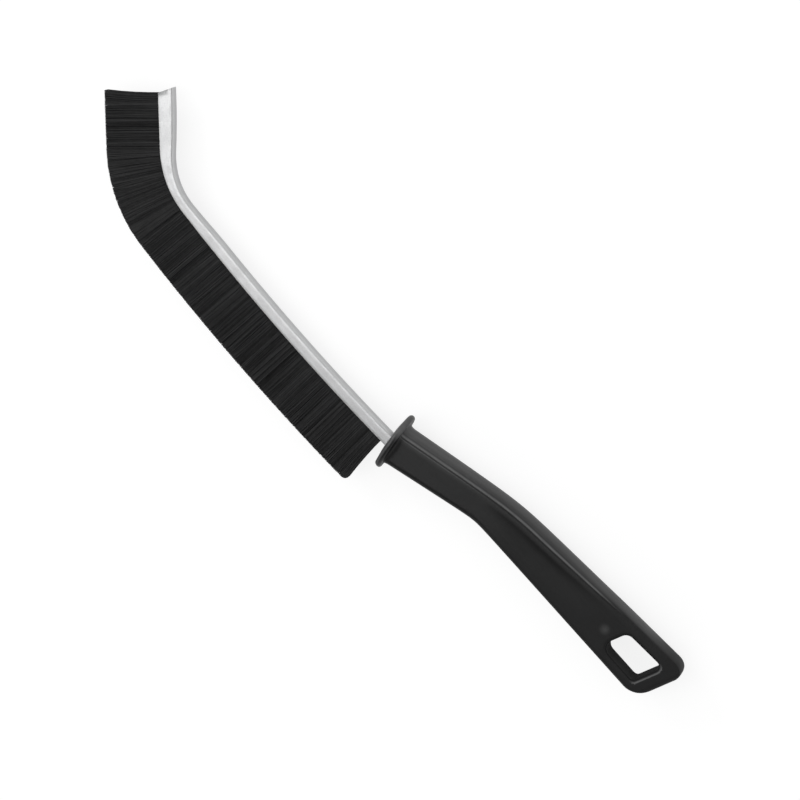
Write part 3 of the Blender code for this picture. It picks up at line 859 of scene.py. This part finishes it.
def section_half(distance, width, half_thickness, share_of_round=1.0):
    """Half of the handle's section, from the back's middle to the belly's, as (in, across)."""
    fade = fade_out(BEAD_FADE_FROM, BEAD_FADE_TO, distance)
    step = BEAD_STEP * fade
    narrowing = 1 - BACK_NARROWING_SHARE * fade_in(BACK_NARROWS_FROM, BACK_NARROWS_TO, distance)
    crown = BACK_CROWN * share_of_round * narrowing
    edge = BELLY_EDGE_RADIUS * share_of_round
    bead = BEAD_WIDTH * share_of_round * narrowing
    points = []
    for turn in quarter_turns(CROWN_STEPS):
        points.append((crown * (1 - math.cos(turn)), (half_thickness - step) * math.sin(turn)))
    for i in range(1, BEAD_STEPS + 1):
        share = i / BEAD_STEPS
        if share < BEAD_PEAK_SHARE:
            risen = share / BEAD_PEAK_SHARE
            rise = -step + (step + BEAD_HEIGHT * fade) * (risen + ease(risen)) / 2
        else:
            fallen = (share - BEAD_PEAK_SHARE) / (1 - BEAD_PEAK_SHARE)
            rise = BEAD_HEIGHT * fade * (1 - ease(fallen))
        points.append((crown + bead * share, half_thickness + rise))
    side_from = crown + bead
    side_to = width - edge
    middle = (SCOOP_FROM + SCOOP_TO) / 2
    reach = fade_in(SCOOP_FROM, middle, distance) * fade_out(middle, SCOOP_TO, distance)
    margin = SCOOP_MARGIN * share_of_round
    for i in range(1, SIDE_STEPS):
        inward = side_from + (side_to - side_from) * i / SIDE_STEPS
        share = (inward - side_from - margin) / (side_to - side_from - 2 * margin)
        share = min(1.0, max(0.0, share))
        dish = share * (1 - share) ** 2 / DISH_PEAK
        points.append((inward, half_thickness - SCOOP_DEPTH * reach * dish))
    for turn in quarter_turns(CORNER_STEPS):
        points.append((side_to + edge * math.sin(turn), half_thickness - edge * (1 - math.cos(turn))))
    points.append((width, 0))
    return points


def whole_section(half):
    return half + [(inward, -across) for inward, across in reversed(half[1:-1])]


def slice_ring(share, trim=0.0, thinning=0.0, share_of_round=1.0):
    """The handle's section at a share of its body, with its back and belly trimmed alike."""
    back_at = FIRST_SLICE[0] + (LAST_SLICE[0] - FIRST_SLICE[0]) * share
    belly_at = FIRST_SLICE[1] + (LAST_SLICE[1] - FIRST_SLICE[1]) * share
    back = Vector((-back_at, back_height(back_at)))
    belly = Vector((-belly_at, belly_height(belly_at)))
    line = belly - back
    way = line.normalized()
    half_thickness = NECK_HALF_THICKNESS + (END_HALF_THICKNESS - NECK_HALF_THICKNESS) * share - thinning
    width = line.length - 2 * trim
    ring = []
    middle_at = (back_at + belly_at) / 2
    for inward, across in whole_section(section_half(middle_at, width, half_thickness, share_of_round)):
        place = back + way * (trim + inward)
        away = (place - DIMPLE_AT).length / DIMPLE_RADIUS
        dimple = DIMPLE_DEPTH * fade_in(0, 1, 1 - away)
        ring.append(Vector((place.x, place.y, across - math.copysign(dimple, across))))
    return ring


GUARD_AXIS = Vector((-math.cos(GUARD_TILT), -math.sin(GUARD_TILT), 0))
GUARD_LIFT = Vector((-math.sin(GUARD_TILT), math.cos(GUARD_TILT), 0))
GUARD_CENTRE = Vector((-GUARD_SETBACK, -GUARD_CENTRE_DROP, 0))


def guard_ring(neck, inset, depth):
    centre = GUARD_CENTRE + GUARD_AXIS * depth
    ring = []
    for point in neck:
        offset = point - centre
        turn = math.atan2(offset.z / GUARD_WIDTH, offset.dot(GUARD_LIFT) / GUARD_LENGTH)
        up = (GUARD_LENGTH / 2 - inset) * math.cos(turn)
        across = (GUARD_WIDTH / 2 - inset) * math.sin(turn)
        ring.append(centre + GUARD_LIFT * up + Vector((0, 0, across)))
    return ring


def guard_rings(neck):
    """Rings from the guard's crowned front, over its two rounded edges, to its flat rear."""
    rings = []
    for share in GUARD_FACE_SHARES:
        inset = GUARD_CROWN_INSET + (GUARD_FRONT_RADIUS - GUARD_CROWN_INSET) * share
        rings.append(guard_ring(neck, inset, -GUARD_CROWN * (1 - share)))
    for turn in quarter_turns(CORNER_STEPS):
        inset = GUARD_FRONT_RADIUS * (1 - math.sin(turn))
        rings.append(guard_ring(neck, inset, GUARD_FRONT_RADIUS * (1 - math.cos(turn))))
    for turn in quarter_turns(CORNER_STEPS):
        inset = GUARD_REAR_RADIUS * (1 - math.cos(turn))
        depth = GUARD_THICKNESS - GUARD_REAR_RADIUS * (1 - math.sin(turn))
        rings.append(guard_ring(neck, inset, depth))
    return rings


def fillet_rings(neck, rim, ahead):
    """The hollow fillet from the guard's flat rear, which ends at the rim, to the handle ahead."""
    rings = []
    for turn in quarter_turns(CORNER_STEPS)[:-1]:
        out = NECK_FILLET_SHARE * (1 - math.sin(turn))
        back = 1 - math.cos(turn)
        corners = zip(neck, rim, ahead)
        rings.append([at.lerp(further, back) + (edge - at) * out for at, edge, further in corners])
    return rings


def handle_rings():
    neck = slice_ring(0)
    fillet_share = NECK_FILLET_LENGTH / BODY_LENGTH
    rings = guard_rings(neck)
    rings += fillet_rings(neck, rings[-1], slice_ring(fillet_share))
    straight_to = 1 - END_CORNER_RADIUS / BODY_LENGTH
    for i in range(BODY_STEPS + 1):
        rings.append(slice_ring(fillet_share + (straight_to - fillet_share) * i / BODY_STEPS))
    for i in range(1, END_STEPS + 1):
        turn = math.pi / 2 * i / END_STEPS
        left = END_CORNER_RADIUS * (1 - math.sin(turn))
        trim = END_CORNER_RADIUS * (1 - math.cos(turn))
        short = max(0.0, END_EDGE_RADIUS - left)
        thinning = END_EDGE_RADIUS - math.sqrt(END_EDGE_RADIUS**2 - short**2)
        rings.append(slice_ring(1 - left / BODY_LENGTH, trim, thinning, (1 + math.cos(turn)) / 2))
    return rings


def hole_corners():
    slant = math.tan(END_CUT_ANGLE)
    end_at = HANDLE_END - HOLE_END_BAR / math.cos(END_CUT_ANGLE)
    corners = []
    middle_height = (back_height(end_at) + belly_height(end_at)) / 2
    toe_at = end_at - HOLE_LENGTH
    for distance, is_belly in ((toe_at, True), (toe_at, False), (end_at, False), (end_at, True)):
        if is_belly:
            height = belly_height(distance) - HOLE_BELLY_BAR
        else:
            height = back_height(distance) + HOLE_BACK_BAR
        corners.append(Vector((-(distance - slant * (height - middle_height)), height)))
    return corners


def rounded_corner(before, corner, after, radius):
    to_before = (before - corner).normalized()
    to_after = (after - corner).normalized()
    half_angle = to_before.angle(to_after) / 2
    bisector = (to_before + to_after).normalized()
    centre = corner + bisector * (radius / math.sin(half_angle))
    start = corner + to_before * (radius / math.tan(half_angle)) - centre
    end = corner + to_after * (radius / math.tan(half_angle)) - centre
    spread = start.angle(end)
    points = []
    for i in range(HOLE_CORNER_STEPS + 1):
        share = i / HOLE_CORNER_STEPS
        blend = start * math.sin((1 - share) * spread) + end * math.sin(share * spread)
        points.append(centre + blend / math.sin(spread))
    return points


def hole_outline():
    """The hole's outline and its outward directions."""
    corners = hole_corners()
    radii = (HOLE_TOE_RADIUS, HOLE_TOE_RADIUS, HOLE_END_RADIUS, HOLE_END_RADIUS)
    middle = sum(corners, Vector((0, 0))) / len(corners)
    outline = []
    for i, corner in enumerate(corners):
        following = corners[(i + 1) % len(corners)]
        outline += rounded_corner(corners[i - 1], corner, following, radii[i])
    outwards = []
    for i, point in enumerate(outline):
        along_edge = (outline[(i + 1) % len(outline)] - outline[i - 1]).normalized()
        outward = Vector((along_edge.y, -along_edge.x))
        outwards.append(outward if outward.dot(point - middle) > 0 else -outward)
    return outline, outwards


def make_hole_cutter():
    """The hole's cutter and each of its points' painted light and dulling.

    It flares into a rounded rim at both faces, which is wider at the handle's end.
    """
    outline, outwards = hole_outline()
    corners = hole_corners()
    end_way = (corners[2] + corners[3] - corners[0] - corners[1]).normalized()
    at_end = [fade_in(*HOLE_END_FACING, outward.dot(end_way)) for outward in outwards]
    radii = [HOLE_RIM_RADIUS + (HOLE_END_RIM_RADIUS - HOLE_RIM_RADIUS) * share for share in at_end]
    turns = [HOLE_RIM_TURN * i / HOLE_RIM_STEPS for i in range(HOLE_RIM_STEPS + 1)]
    levels = [-turn for turn in reversed(turns)] + turns
    points = []
    painted_light_and_dulling = []
    for step in range(-1, len(levels) + 1):
        turn = levels[min(max(step, 0), len(levels) - 1)]
        side = -1 if step < len(turns) else 1
        is_outside = step < 0 or step == len(levels)
        crest = fade_in(*HOLE_RIM_FADE, abs(turn) / turns[-1])
        deep = fade_out(*HOLE_WALL_FADE, abs(turn) / turns[-1])
        for place, outward, radius, share in zip(outline, outwards, radii, at_end):
            grown = radius * (1 - math.cos(turn))
            height = END_HALF_THICKNESS - radius + radius * math.sin(abs(turn))
            if is_outside:
                grown += HOLE_OVERRUN / math.tan(HOLE_FLARE_ANGLE)
                height += HOLE_OVERRUN
            points.append((place.x + outward.x * grown, place.y + outward.y * grown, side * height))
            # Painted highlight on the crest of the rim at the handle's end, and painted light that
            # lifts the shaded walls deep in the hole away from the end
            painted_light = HOLE_RIM_HIGHLIGHT * crest * share + HOLE_WALL_PAINTED_LIGHT * deep * (1 - share)
            painted_light_and_dulling.append((painted_light, 1 - crest, 0))
    return add_object("hole_cutter", points, ring_faces(len(levels) + 2, len(outline))), painted_light_and_dulling


def make_socket_cutter():
    half_width = CHANNEL_WIDTH / 2 + SOCKET_GAP
    low, high = -CHANNEL_DEPTH - SOCKET_GAP, SOCKET_GAP
    ring = np.array([(low, -half_width), (low, half_width), (high, half_width), (high, -half_width)])
    points = [strip_points(distance, ring[:, 0], ring[:, 1])
              for distance in (-TANG_LENGTH - SOCKET_GAP, SOCKET_OVERRUN)]
    return add_object("socket_cutter", np.concatenate(points), ring_faces(len(points), len(ring)))


def guard_painted_light(number, ring):
    """One guard ring's painted light: a painted highlight on its front rim, painted light at its back
    end.
    """
    from_crest = abs(number - (len(GUARD_FACE_SHARES) + GUARD_RIM_AT * CORNER_STEPS)) / CORNER_STEPS
    rim_highlight = GUARD_RIM_HIGHLIGHT * fade_out(*GUARD_RIM_FADE, from_crest)
    painted_light_and_dulling = []
    for point in ring:
        backward = -(point - GUARD_CENTRE).dot(GUARD_LIFT) / (GUARD_LENGTH / 2)
        painted_light_and_dulling.append((max(rim_highlight, GUARD_BACK_PAINTED_LIGHT * fade_in(*GUARD_BACK_FADE, backward)), 0, 0))
    return painted_light_and_dulling


def section_painted_light(step, past_bead, near_guard):
    """How much painted light a point of the handle's section gets: painted sheen on the crown and
    painted highlights on the beads, which are palest on their crests.

    Its step counts from the back's middle, and past_bead is its distance from the bead's end.
    """
    crown_sheen = CROWN_SHEEN + (NECK_CROWN_SHEEN - CROWN_SHEEN) * near_guard
    side_painted_light = SIDE_PAINTED_LIGHT + (NECK_SIDE_PAINTED_LIGHT - SIDE_PAINTED_LIGHT) * near_guard
    if step <= CROWN_STEPS:
        share = step / CROWN_STEPS
        fall = CROWN_FALL_SHARE * fade_in(*CROWN_FALL, share)
        return crown_sheen * fade_in(*CROWN_RISE, share) * (1 - fall)
    if step <= BEAD_END_STEP:
        share = (step - CROWN_STEPS) / BEAD_STEPS
        start = crown_sheen * BEAD_HIGHLIGHT_START
        rise = (1 - start) * fade_in(*BEAD_RISE, share)
        return start + rise - (1 - side_painted_light) * fade_in(*BEAD_FALL, share)
    if step == BEAD_END_STEP + 1:
        return side_painted_light + (SECOND_LINE_HIGHLIGHT - side_painted_light) * near_guard
    return side_painted_light * fade_out(0, SIDE_PAINTED_LIGHT_REACH, past_bead)


def body_painted_light_and_dulling(ring):
    """One ring's painted light and dulling behind the guard, with duller side panels and a duller end.
    """
    count = len(ring)
    distance = -sum(point.x for point in ring) / count
    bead_fade = fade_out(BEAD_FADE_FROM, BEAD_FADE_TO, distance)
    near_guard = fade_out(*NECK_FADE, distance)
    end_dulling = END_DULLING * fade_in(*END_DULLING_FADE, distance)
    in_grip = fade_in(SCOOP_FROM, SCOOP_FROM + PANEL_DULLS_OVER, distance)
    panel_dulling = NECK_PANEL_DULLING + (PANEL_DULLING - NECK_PANEL_DULLING) * in_grip
    painted_light_and_dulling = []
    for i, point in enumerate(ring):
        step = min(i, count - i)
        past_bead = (ring[step] - ring[BEAD_END_STEP]).length
        painted_light = section_painted_light(step, past_bead, near_guard) * bead_fade
        dulled = end_dulling
        if step > CROWN_STEPS:
            # Painted highlight on the dimple beside the hole
            away = math.dist(point.xy, DIMPLE_AT) / DIMPLE_RADIUS
            painted_light = max(painted_light, DIMPLE_HIGHLIGHT * fade_in(0, 1, 1 - away))
        if step > BEAD_END_STEP:
            dulled = max(dulled, panel_dulling * min(1, (step - BEAD_END_STEP) / PANEL_EDGE_STEPS))
        painted_light_and_dulling.append((painted_light, dulled, 0))
    return painted_light_and_dulling


def handle_painted_light_and_dulling(rings):
    """Each point's painted light (highlights, lifted shade) and dulling. The third value isn't used."""
    guard_count = len(GUARD_FACE_SHARES) + 2 * len(quarter_turns(CORNER_STEPS))
    values = []
    for number, ring in enumerate(rings):
        values += guard_painted_light(number, ring) if number < guard_count else body_painted_light_and_dulling(ring)
    return values


def carry_values(mesh, name, points, values):
    """Give each of the mesh's points the value of the nearest known point."""
    finder = kdtree.KDTree(len(points))
    for i, point in enumerate(points):
        finder.insert(point, i)
    finder.balance()
    attribute = mesh.attributes.new(name, "FLOAT_VECTOR", "POINT")
    for vertex in mesh.vertices:
        attribute.data[vertex.index].vector = values[finder.find(vertex.co)[1]]


def make_handle(paint):
    rings = handle_rings()
    points = [tuple(point) for ring in rings for point in ring]
    thing = add_object("handle_moulding", points, ring_faces(len(rings), len(rings[0])))
    hole_cutter, hole_painted_light_and_dulling = make_hole_cutter()
    known = [vertex.co.copy() for solid in (thing, hole_cutter) for vertex in solid.data.vertices]
    cutters = [hole_cutter, make_socket_cutter()]
    for cutter in cutters:
        boolean = thing.modifiers.new(cutter.name, "BOOLEAN")
        boolean.operation = "DIFFERENCE"
        boolean.solver = "EXACT"
        boolean.object = cutter
    evaluated = thing.evaluated_get(bpy.context.evaluated_depsgraph_get())
    mesh = bpy.data.meshes.new_from_object(evaluated)
    thing.modifiers.clear()
    thing.data = mesh
    for cutter in cutters:
        bpy.data.objects.remove(cutter, do_unlink=True)
    # The painted light and dulling go to the cut mesh's points
    carry_values(mesh, "painted_light_and_dulling", known, handle_painted_light_and_dulling(rings) + hole_painted_light_and_dulling)
    mesh.materials.clear()
    mesh.materials.append(paint)
    smooth(mesh)
    return thing


# Stage

def make_floor():
    """A floor that is near white to the camera and darker in reflections, and lit from above."""
    mesh = bpy.data.meshes.new("floor")
    reach = FLOOR_REACH
    corners = [(-reach, -reach, 0), (reach, -reach, 0), (reach, reach, 0), (-reach, reach, 0)]
    mesh.from_pydata(corners, [], [(0, 1, 2, 3)])
    floor = linked_object("floor", mesh)
    made, tree, shader = new_material("pale_floor")
    shader.inputs["Base Color"].default_value = (FLOOR_TONE, FLOOR_TONE, FLOOR_TONE, 1)
    shader.inputs["Roughness"].default_value = FLOOR_ROUGHNESS
    shader.inputs["Specular IOR Level"].default_value = 0.0
    path = node(tree, "ShaderNodeLightPath").outputs
    seen = multiplied(tree, path["Is Camera Ray"], FLOOR_SEEN)
    in_mirrors = multiplied(tree, mirrored_rays(tree, path), FLOOR_MIRRORED)
    shader.inputs["Emission Color"].default_value = WHITE
    tree.links.new(combined(tree, seen, in_mirrors, "MAXIMUM"), shader.inputs["Emission Strength"])
    mesh.materials.append(made)


def make_world():
    """White to the camera. Reflections show pale walls, higher on the -Y side, and a darker ceiling.

    All other rays get an even soft light.
    """
    world = bpy.data.worlds.new("studio")
    bpy.context.scene.world = world
    world.use_nodes = True
    tree = world.node_tree
    background = tree.nodes["Background"]
    background.inputs["Color"].default_value = WHITE
    path = node(tree, "ShaderNodeLightPath").outputs
    way = xyz_parts(tree, node(tree, "ShaderNodeTexCoord").outputs["Generated"])
    height = combined(tree, way["Z"], multiplied(tree, way["Y"], WALL_LEAN))
    room = mapped(tree, height, WALLS_TO_CEILING, (WALL_LIGHT - ROOM_LIGHT, CEILING_LIGHT - ROOM_LIGHT))
    backdrop = multiplied(tree, path["Is Camera Ray"], 1 - ROOM_LIGHT)
    seen = summed(tree, multiplied(tree, mirrored_rays(tree, path), room), backdrop, ROOM_LIGHT)
    tree.links.new(seen, background.inputs["Strength"])


def make_lamp(name, place, target, size, watts):
    light = bpy.data.lights.new(name, "AREA")
    light.shape = "RECTANGLE"
    light.size, light.size_y = size
    light.energy = watts
    lamp = linked_object(name, light)
    lamp.location = place
    lamp.rotation_mode = "QUATERNION"
    lamp.rotation_quaternion = (Vector(target) - Vector(place)).to_track_quat("-Z", "Y")


def make_camera():
    camera = bpy.data.cameras.new("camera")
    camera.sensor_width = SENSOR_MM
    camera.lens = LENS_MM
    camera.clip_start = CLIP_START
    camera.clip_end = CLIP_END
    thing = linked_object("camera", camera)
    up = Vector((0, 0, 1))
    rise = math.sqrt(1 - VIEW_RIGHT**2 - VIEW_UP**2)
    back = PHOTO_RIGHT * VIEW_RIGHT + PHOTO_UP * VIEW_UP + up * rise
    back.normalize()
    level = Matrix((PHOTO_RIGHT, PHOTO_UP, up)).transposed()
    turn = up.rotation_difference(back).to_matrix()
    place = HEEL + VIEW_TARGET + back * VIEW_DISTANCE
    thing.matrix_world = Matrix.Translation(place) @ (turn @ level).to_4x4()
    bpy.context.scene.camera = thing


def main():
    make_camera()
    make_floor()
    make_world()
    make_lamp("top_lamp", *TOP_LAMP)
    make_lamp("toe_lamp", *TOE_LAMP)

    plastic = plastic_material()
    steel = steel_material()
    nylon = nylon_material()
    wire = wire_material()

    handle = make_handle(plastic)
    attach(handle, "root")
    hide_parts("handle")

    channel = make_channel(steel)
    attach(channel, "root")
    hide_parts("brush_channel")

    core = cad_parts["core_wire"]
    core.data.materials.clear()
    core.data.materials.append(wire)

    chance = np.random.default_rng(RANDOM_SEED)
    for number in range(BANK_COUNT):
        bank = make_bank(number, nylon, chance)
        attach(bank, "root")
        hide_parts(f"bristles_{number + 1:02d}")

    bpy.context.scene.view_settings.view_transform = "Standard"


main()
